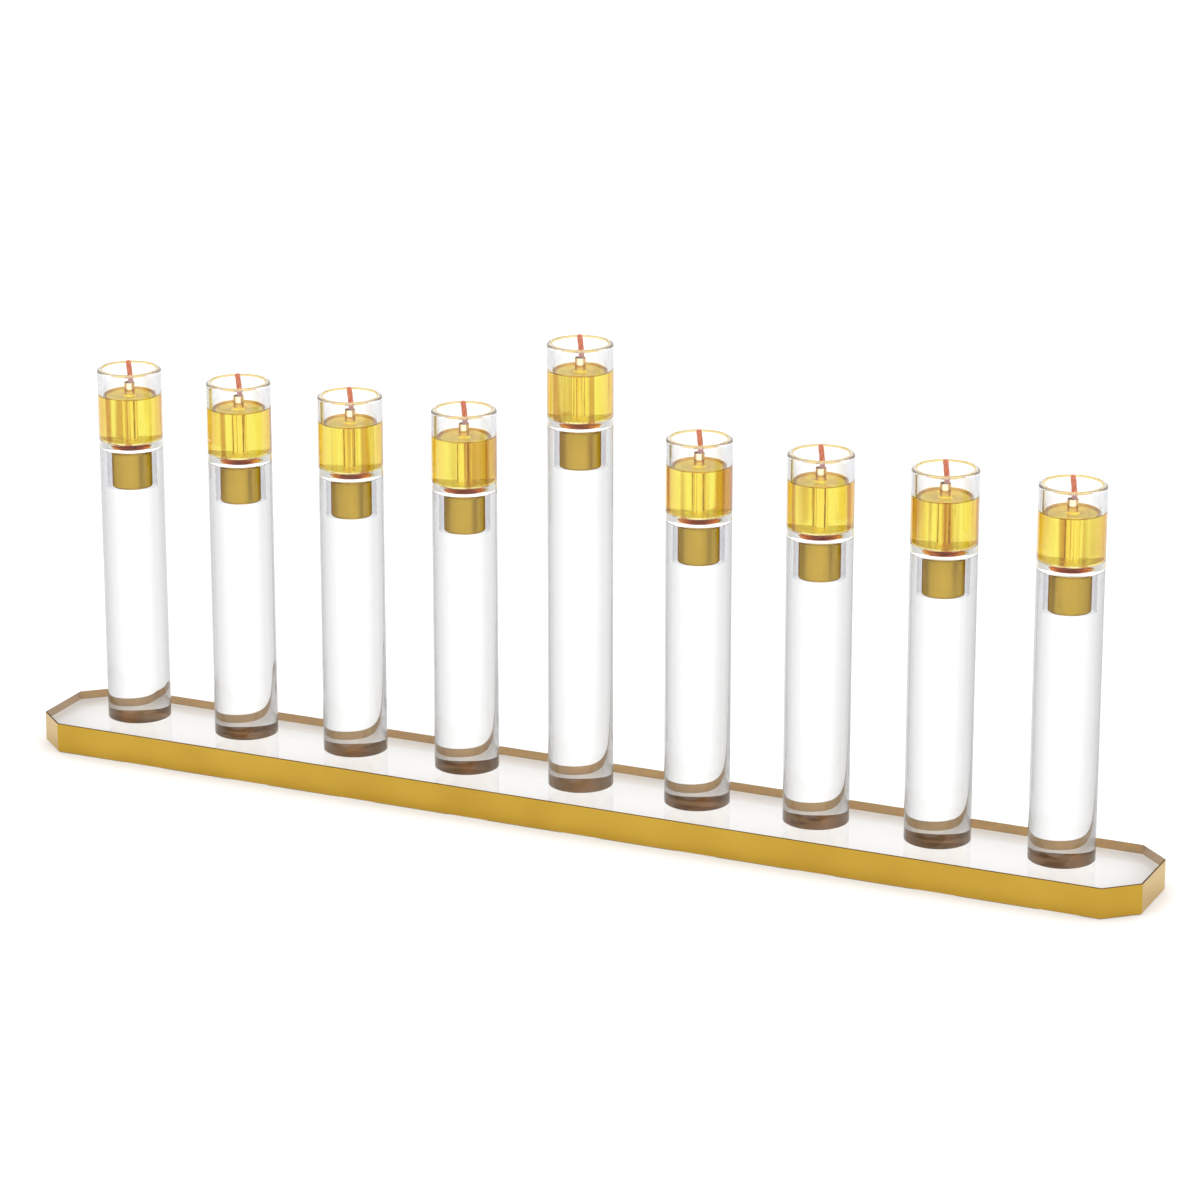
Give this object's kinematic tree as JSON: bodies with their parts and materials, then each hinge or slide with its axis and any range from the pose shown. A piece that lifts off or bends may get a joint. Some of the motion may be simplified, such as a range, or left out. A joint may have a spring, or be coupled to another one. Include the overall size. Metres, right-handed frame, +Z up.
{
  "type": "menorah",
  "caption": "Clear glass menorah: a row of round columns with lift-off oil lamps, the middle one taller, on a gold-edged plate.",
  "frame": {"origin": "centre of the underside of the base plate", "axes": "+X along the row of lamps, +Y to the back, +Z up"},
  "size_m": [0.4584, 0.0488, 0.1888],
  "materials": {
    "crystal": "clear, polished",
    "cup_glass": "clear, fire polished",
    "gold_band": "gold toned, satin polish",
    "gold_socket": "gold toned, brushed",
    "gold_tube": "gold toned, mirror polish",
    "clear_resin": "clear, cast",
    "lamp_oil": "clear yellow liquid",
    "cotton_wick": "braided, waxed"
  },
  "bodies": {
    "stand": {"base_plate": "crystal", "edge_band": "gold_band", "socket_settings": "clear_resin", "column_1": "crystal", "candle_socket_1": "gold_socket", "column_2": "crystal", "candle_socket_2": "gold_socket", "column_3": "crystal", "candle_socket_3": "gold_socket", "column_4": "crystal", "candle_socket_4": "gold_socket", "column_shamash": "crystal", "candle_socket_shamash": "gold_socket", "column_5": "crystal", "candle_socket_5": "gold_socket", "column_6": "crystal", "candle_socket_6": "gold_socket", "column_7": "crystal", "candle_socket_7": "gold_socket", "column_8": "crystal", "candle_socket_8": "gold_socket"},
    "lamp_1": {"oil_cup_1": "cup_glass", "oil_fill_1": "lamp_oil", "wick_stand_1": "gold_tube", "wick_1": "cotton_wick"},
    "lamp_2": {"oil_cup_2": "cup_glass", "oil_fill_2": "lamp_oil", "wick_stand_2": "gold_tube", "wick_2": "cotton_wick"},
    "lamp_3": {"oil_cup_3": "cup_glass", "oil_fill_3": "lamp_oil", "wick_stand_3": "gold_tube", "wick_3": "cotton_wick"},
    "lamp_4": {"oil_cup_4": "cup_glass", "oil_fill_4": "lamp_oil", "wick_stand_4": "gold_tube", "wick_4": "cotton_wick"},
    "lamp_shamash": {"oil_cup_shamash": "cup_glass", "oil_fill_shamash": "lamp_oil", "wick_stand_shamash": "gold_tube", "wick_shamash": "cotton_wick"},
    "lamp_5": {"oil_cup_5": "cup_glass", "oil_fill_5": "lamp_oil", "wick_stand_5": "gold_tube", "wick_5": "cotton_wick"},
    "lamp_6": {"oil_cup_6": "cup_glass", "oil_fill_6": "lamp_oil", "wick_stand_6": "gold_tube", "wick_6": "cotton_wick"},
    "lamp_7": {"oil_cup_7": "cup_glass", "oil_fill_7": "lamp_oil", "wick_stand_7": "gold_tube", "wick_7": "cotton_wick"},
    "lamp_8": {"oil_cup_8": "cup_glass", "oil_fill_8": "lamp_oil", "wick_stand_8": "gold_tube", "wick_8": "cotton_wick"}
  },
  "joints": [
    {"name": "lamp_1_lift", "type": "slide", "parent": "stand", "child": "lamp_1", "axis": [0, 0, 1], "range_m": [0, 0.04]},
    {"name": "lamp_2_lift", "type": "slide", "parent": "stand", "child": "lamp_2", "axis": [0, 0, 1], "range_m": [0, 0.04]},
    {"name": "lamp_3_lift", "type": "slide", "parent": "stand", "child": "lamp_3", "axis": [0, 0, 1], "range_m": [0, 0.04]},
    {"name": "lamp_4_lift", "type": "slide", "parent": "stand", "child": "lamp_4", "axis": [0, 0, 1], "range_m": [0, 0.04]},
    {"name": "lamp_shamash_lift", "type": "slide", "parent": "stand", "child": "lamp_shamash", "axis": [0, 0, 1], "range_m": [0, 0.04]},
    {"name": "lamp_5_lift", "type": "slide", "parent": "stand", "child": "lamp_5", "axis": [0, 0, 1], "range_m": [0, 0.04]},
    {"name": "lamp_6_lift", "type": "slide", "parent": "stand", "child": "lamp_6", "axis": [0, 0, 1], "range_m": [0, 0.04]},
    {"name": "lamp_7_lift", "type": "slide", "parent": "stand", "child": "lamp_7", "axis": [0, 0, 1], "range_m": [0, 0.04]},
    {"name": "lamp_8_lift", "type": "slide", "parent": "stand", "child": "lamp_8", "axis": [0, 0, 1], "range_m": [0, 0.04]}
  ]
}
